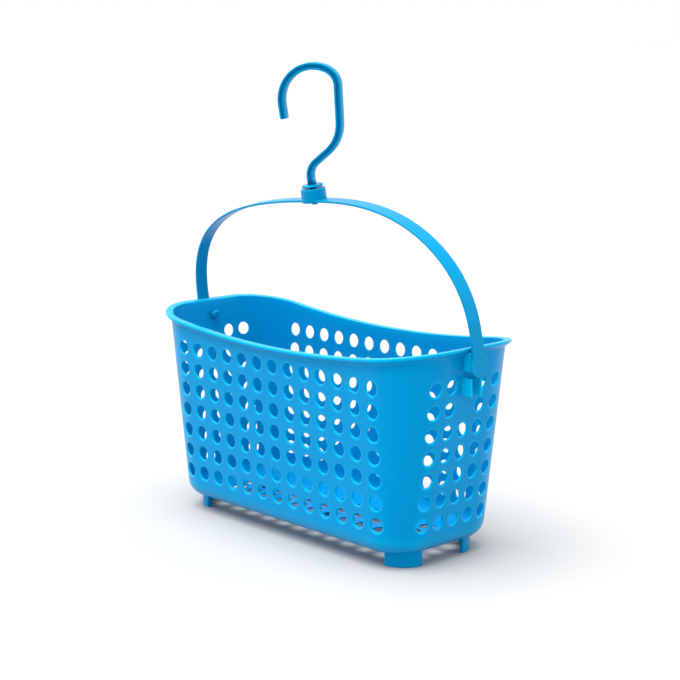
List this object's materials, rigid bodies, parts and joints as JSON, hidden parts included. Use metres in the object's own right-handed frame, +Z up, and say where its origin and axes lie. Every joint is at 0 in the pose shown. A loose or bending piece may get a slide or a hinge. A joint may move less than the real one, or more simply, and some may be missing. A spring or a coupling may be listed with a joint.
{
  "type": "shower caddy",
  "caption": "Perforated oblong shower basket with a flared wavy rim, a swinging bail handle and a swivel hanging hook.",
  "frame": {"origin": "on the ground plane, in the middle of the four feet", "axes": "+Z up along the hook; +X along the basket's length; -Y towards the front wall"},
  "size_m": [0.2766, 0.116, 0.32],
  "materials": {
    "basket_plastic": "satin-gloss moulded polypropylene, clear sky blue",
    "handle_plastic": "satin-gloss moulded polypropylene, clear sky blue",
    "hook_plastic": "satin-gloss moulded polypropylene, clear sky blue"
  },
  "bodies": {
    "basket": {"floor_tray": "basket_plastic", "front_wall": "basket_plastic", "back_wall": "basket_plastic", "left_end_wall": "basket_plastic", "right_end_wall": "basket_plastic", "front_left_corner": "basket_plastic", "front_right_corner": "basket_plastic", "back_left_corner": "basket_plastic", "back_right_corner": "basket_plastic", "rim": "basket_plastic", "front_left_foot": "basket_plastic", "front_right_foot": "basket_plastic", "back_left_foot": "basket_plastic", "back_right_foot": "basket_plastic", "left_pivot_bracket": "basket_plastic", "right_pivot_bracket": "basket_plastic"},
    "handle": {"handle_strap": "handle_plastic", "left_pivot_eye": "handle_plastic", "right_pivot_eye": "handle_plastic", "handle_hub": "handle_plastic"},
    "hook": {"hook_rod": "hook_plastic", "hook_collar": "hook_plastic", "hook_snap_shank": "hook_plastic"}
  },
  "joints": [
    {"name": "handle_pivot", "type": "hinge", "parent": "basket", "child": "handle", "pos_m": [0, 0, 0.1335], "axis": [1, 0, 0], "range_deg": [-63, 46]},
    {"name": "hook_swivel", "type": "hinge", "parent": "handle", "child": "hook", "pos_m": [0, -0.01427, 0.22843], "axis": [-0.061, -0.1484, 0.987], "continuous": true}
  ]
}
